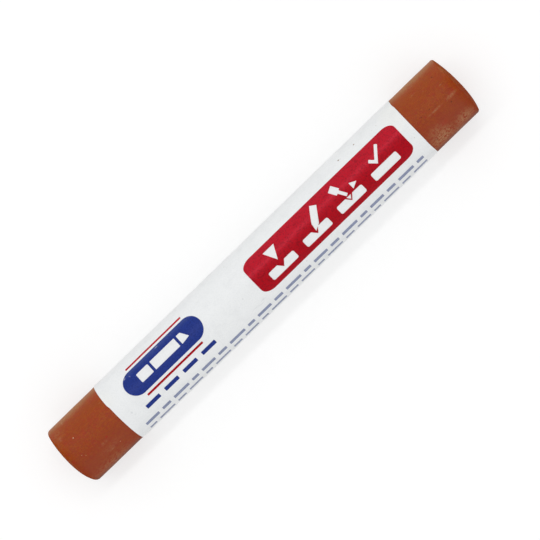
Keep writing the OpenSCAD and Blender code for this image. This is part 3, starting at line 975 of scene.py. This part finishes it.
def pictureShapes(v):
    # White shapes of the four pictures of a repair, each a list of outlines round its own middle
    pitch = (panelLength - 2 * v["margin"]) / v["pictures"]
    length = pitch - v["boardGap"]
    top = v["boardHeight"] - v["boardDrop"]
    tool, stroke, soft = v["tool"], v["stroke"], inkValues["corner"]
    h = stroke / 2
    w, d = v["scratchWidth"], v["scratchDepth"]
    lip, bottom, farLip = (w / 2, top), (0, top - d), (-w / 2, top)
    # the scratch is pointed at
    scratched = boardOutline(v, length, (lip, bottom, farLip))
    pointer = softCorners([(0, top + stroke), (tool, v["top"]), (-tool, v["top"])], soft)
    first = [scratched, pointer]
    # the stick is rubbed into it
    foot = np.array([0, top - d / 2])
    reach = (v["top"] - foot[1]) / math.cos(math.radians(v["stickLean"]))
    stick = turned([(0, 0), (tool / 2, tool), (tool / 2, reach), (-tool / 2, reach), (-tool / 2, tool)],
                   -v["stickLean"], foot)
    second = [boardOutline(v, length, [meeting(stick[0], stick[1], lip, (length, top)), *stick[1:], stick[0],
                                       meeting(stick[0], stick[1], bottom, lip), bottom, farLip])]
    # the filling is scraped level
    filled = softCorners([(h - w / 2, top), (0, top - d + h), (w / 2 - h, top)], soft / 2)
    foot = np.array([0, top + h])
    reach = (v["top"] - foot[1]) / math.cos(math.radians(v["scraperLean"]))
    scraper = turned(softCorners([(-h, 0), (h, 0), (h, reach / 2), (tool / 2, reach / 2), (tool / 2, reach),
                                  (-tool / 2, reach), (-tool / 2, reach / 2), (-h, reach / 2)], soft),
                     v["scraperLean"], foot)
    arrow = softCorners(np.array([(0, 0), (tool, tool / 2), (0, tool)]) + (length / 4, foot[1]), soft)
    third = [scratched, filled, scraper, arrow]
    # the board is whole, under a tick
    pivot = np.array([-tool / 2, top + stroke * 1.5])
    reach = (v["top"] - top - stroke) / math.sin(math.radians(v["tickLong"]))
    long, short = (turned(boxPoints(-h, -h, far - h, h), lean, pivot)
                   for far, lean in ((reach, v["tickLong"]), (reach / 2, v["tickShort"])))
    inner = meeting(long[3], long[2], short[0], short[1])
    outer = meeting(long[0], long[1], short[3], short[2])
    tick = softCorners([outer, long[1], long[2], inner, short[1], short[2]], soft)
    fourth = [boardOutline(v, length), tick]
    shift = (np.arange(v["pictures"]) - (v["pictures"] - 1) / 2) * pitch
    return [shape + (move, 0) for move, shapes in zip(shift, (first, second, third, fourth)) for shape in shapes]


def redOutlines(v):
    # The panel with its pictures left open, and a rule above and below the blue panel
    panel = roundedBox(panelLength, v["width"], v["cornerLength"], v["cornerWidth"])
    shapes = [shape + (panelX, 0) for shape in [panel] + pictureShapes(v)]
    ruleY = blueValues["width"] / 2 + v["ruleGap"] + v["ruleWidth"] / 2
    return shapes + [barShape(pillX, blueValues["up"] + y, v["ruleLength"], v["ruleWidth"])
                     for y in (-ruleY, ruleY)]


def blueOutlines(v):
    # The panel with a stick left open: worn tip, cap and barrel with a band between each; and bold dashes below
    half, h, soft = v["stickLength"] / 2, v["stickWidth"] / 2, inkValues["corner"]
    tip, band, cap = (v["stickLength"] * v[name] for name in ("tipShare", "bandShare", "capShare"))
    worn = [(half - tip, -h), (half, -2 * h * v["tipWear"]), (half - tip / 2, h), (half - tip, h)]
    shapes = [roundedBox(v["length"], v["width"], v["width"] / 2, v["width"] / 2, v["panelSteps"]),
              softCorners(worn, soft),
              softCorners(boxPoints(-half, -h, cap - half, h), soft * 2),
              softCorners(boxPoints(cap + band - half, -h, half - tip - band, h), soft)]
    shapes = [shape + (pillX, v["up"]) for shape in shapes]
    pitch = v["length"] / v["boldCount"]
    for i in range(v["boldCount"]):
        shapes.append(barShape(pillX + (i - (v["boldCount"] - 1) / 2) * pitch, -v["boldDown"],
                               v["boldLength"], v["boldHeight"]))
    return shapes


def fineOutlines(v):
    # Groups of dashes of four lengths; the lower row runs the other way
    middle = (labelStart + labelEnd) / 2
    whole = labelEnd - labelStart - 2 * v["inset"]
    group = whole / v["groups"]
    printed = group - len(v["shares"]) * v["gap"]
    shapes = []
    for row, way in enumerate((1, -1)):
        for g in range(v["groups"]):
            for k, share in enumerate(v["shares"]):
                x = g * group - whole / 2 + printed * (sum(v["shares"][:k]) + share / 2) + (k + 0.5) * v["gap"]
                y = -v["down"] - row * v["pitch"]
                shapes.append(barShape(middle + way * x, y, printed * share, v["height"]))
    return shapes


def flatFill(name, outlines):
    # Closed outlines filled by a flat curve, holes left out, as triangles in the plane. They are turned for the
    # fill and turned back, as it makes triangles without area between corners that lie on one level.
    curve = bpy.data.curves.new(name, "CURVE")
    curve.dimensions = "2D"
    curve.fill_mode = "BOTH"
    for outline in outlines:
        spline = curve.splines.new("POLY")
        spline.points.add(len(outline) - 1)
        points = np.zeros((len(outline), 4), np.float32)
        points[:, :2] = turned(outline, inkValues["fillTurn"])
        points[:, 3] = 1
        spline.points.foreach_set("co", points.ravel())
        spline.use_cyclic_u = True
    holder = bpy.data.objects.new(name, curve)
    mesh = bpy.data.meshes.new_from_object(holder)
    bpy.data.objects.remove(holder)
    bpy.data.curves.remove(curve)
    mesh.transform(Matrix.Rotation(math.radians(-inkValues["fillTurn"]), 4, "Z"))
    return mesh


def printedFilm(name, outlines, material):
    # Flat print cut by lines along and across the stick, wrapped on the label and given its thickness
    v = inkValues
    mesh = flatFill(name, outlines)
    shape = bmesh.new()
    shape.from_mesh(mesh)
    bmesh.ops.remove_doubles(shape, verts=shape.verts, dist=v["weld"])
    low = np.min([o.min(0) for o in outlines], 0)
    high = np.max([o.max(0) for o in outlines], 0)
    for axis, gap, normal in ((1, v["rowGap"], (0, 1, 0)), (0, v["columnGap"], (1, 0, 0))):
        for at in np.arange(math.ceil(low[axis] / gap) * gap + gap * v["cutShift"], high[axis], gap):
            bmesh.ops.bisect_plane(shape, geom=[*shape.verts, *shape.edges, *shape.faces], dist=v["cutReach"],
                                   plane_co=[n * at for n in normal], plane_no=normal)
    bmesh.ops.triangulate(shape, faces=shape.faces, quad_method="BEAUTY", ngon_method="BEAUTY")
    shape.to_mesh(mesh)
    shape.free()
    flat = readMesh(mesh.vertices, "co").reshape(-1, 3)[:, :2]
    tris = readMesh(mesh.loops, "vertex_index", int).reshape(-1, 3)
    bpy.data.meshes.remove(mesh)
    a, b, c = flat[tris[:, 0]], flat[tris[:, 1]], flat[tris[:, 2]]
    area = (b[:, 0] - a[:, 0]) * (c[:, 1] - a[:, 1]) - (b[:, 1] - a[:, 1]) * (c[:, 0] - a[:, 0])
    tris[area < 0] = tris[area < 0][:, ::-1]
    # edges that no neighbour runs the other way are the rim
    edges = np.concatenate([tris[:, [0, 1]], tris[:, [1, 2]], tris[:, [2, 0]]])
    key = edges[:, 0] * len(flat) + edges[:, 1]
    back = edges[:, 1] * len(flat) + edges[:, 0]
    rim = edges[~np.isin(key, back)]
    turn = -flat[:, 1] / sheetRadius
    base = sheetRadius + sheetWave(flat[:, 0], turn)
    places = np.concatenate([roundPlace(flat[:, 0], turn, base + v[face]) for face in ("top", "bottom")])
    walls = np.stack([rim[:, 1], rim[:, 0], rim[:, 0] + len(flat), rim[:, 1] + len(flat)], 1)
    faces = tris.tolist() + (tris[:, ::-1] + len(flat)).tolist() + walls.tolist()
    return makePiece(name, places, faces, material, flatFaces=len(walls))


def inkMaterial(name, v):
    # Printed ink: the colour passes to a paler second one towards one side, a painted highlight on the upper
    # side of the red and blue panels and thinner ink on the fine print, and fine mottle darkens it
    material, shader, place = newMaterial(name, v["shader"])
    grain = addGrain(place, inkValues["grain"])
    # the second colour: on the red and blue panels a painted highlight of their upper side
    at = calc("ADD", place["Round"], uneven(grain["Clouds"], inkValues["thinSpread"]))
    colour = blendColour(softStep(at, *v["thin"]), v["colour"], v["thinColour"])
    mottle = softStep(grain["Mottle"], *inkValues["mottle"])
    colour = blendColour(times(mottle, v["mottle"]), colour, (0, 0, 0, 1))
    gaps = softStep(grain["Fine"], *inkValues["gaps"], v["gaps"])
    if v["scuffs"]:
        rubbed = softStep(grain["Mottle"], *inkValues["rubbed"])
        gaps = strongest([gaps, times(ovalMarks(place, v["scuffs"]), rubbed)])
    colour = blendColour(gaps, colour, labelValues["colours"]["plain"])
    rough = calc("MULTIPLY_ADD", mottle, inkValues["mottleRoughness"], v["roughness"])
    bump = addBump(grain["Fine"], *inkValues["bump"])
    feed(shader, {"Base Color": colour, "Roughness": rough, "Normal": bump})
    return material


for name, makeOutlines, values, node, slot in (
        ("redInk", redOutlines, redValues, "red_print", "red_ink"),
        ("blueInk", blueOutlines, blueValues, "blue_print", "blue_ink"),
        ("fineInk", fineOutlines, fineInkValues, "fine_print", "fine_ink")):
    film = printedFilm(name, makeOutlines(values), inkMaterial(name, values))
    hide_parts(node)
    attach(film, "root")
    print(name, "made with", len(film.data.polygons), "faces")
